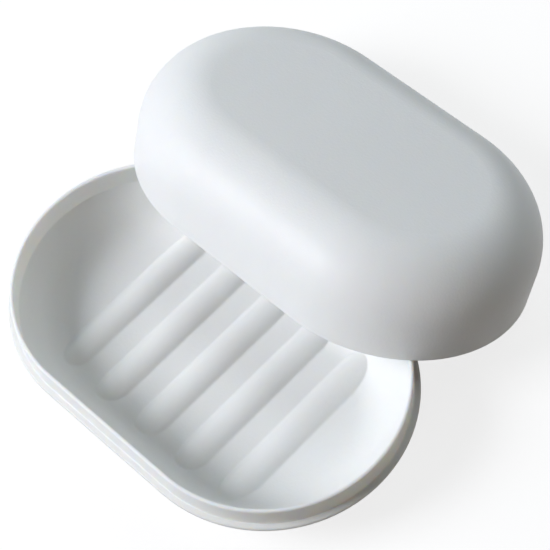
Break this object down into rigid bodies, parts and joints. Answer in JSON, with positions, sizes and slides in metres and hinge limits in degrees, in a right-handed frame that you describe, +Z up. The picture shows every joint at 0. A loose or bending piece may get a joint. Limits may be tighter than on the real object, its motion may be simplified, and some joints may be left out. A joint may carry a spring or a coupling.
{
  "type": "plastic soap dish",
  "caption": "Moulded plastic travel soap box: an oval tray with a ribbed floor and a thin lip inside a ledge, and its domed lid lying open against the tray's back rim.",
  "frame": {"origin": "centre of the tray's foot rim, on the table", "axes": "+X runs along the tray's long axis, +Y is the side of the tray that the lid lies on, +Z is up"},
  "size_m": [0.1242, 0.1313, 0.0488],
  "materials": {
    "tray_plastic": "satin white polypropylene, slightly see-through where it is thin",
    "lid_plastic": "satin white polypropylene"
  },
  "bodies": {
    "root": {"tray": "tray_plastic", "lid": "lid_plastic"}
  },
  "joints": []
}
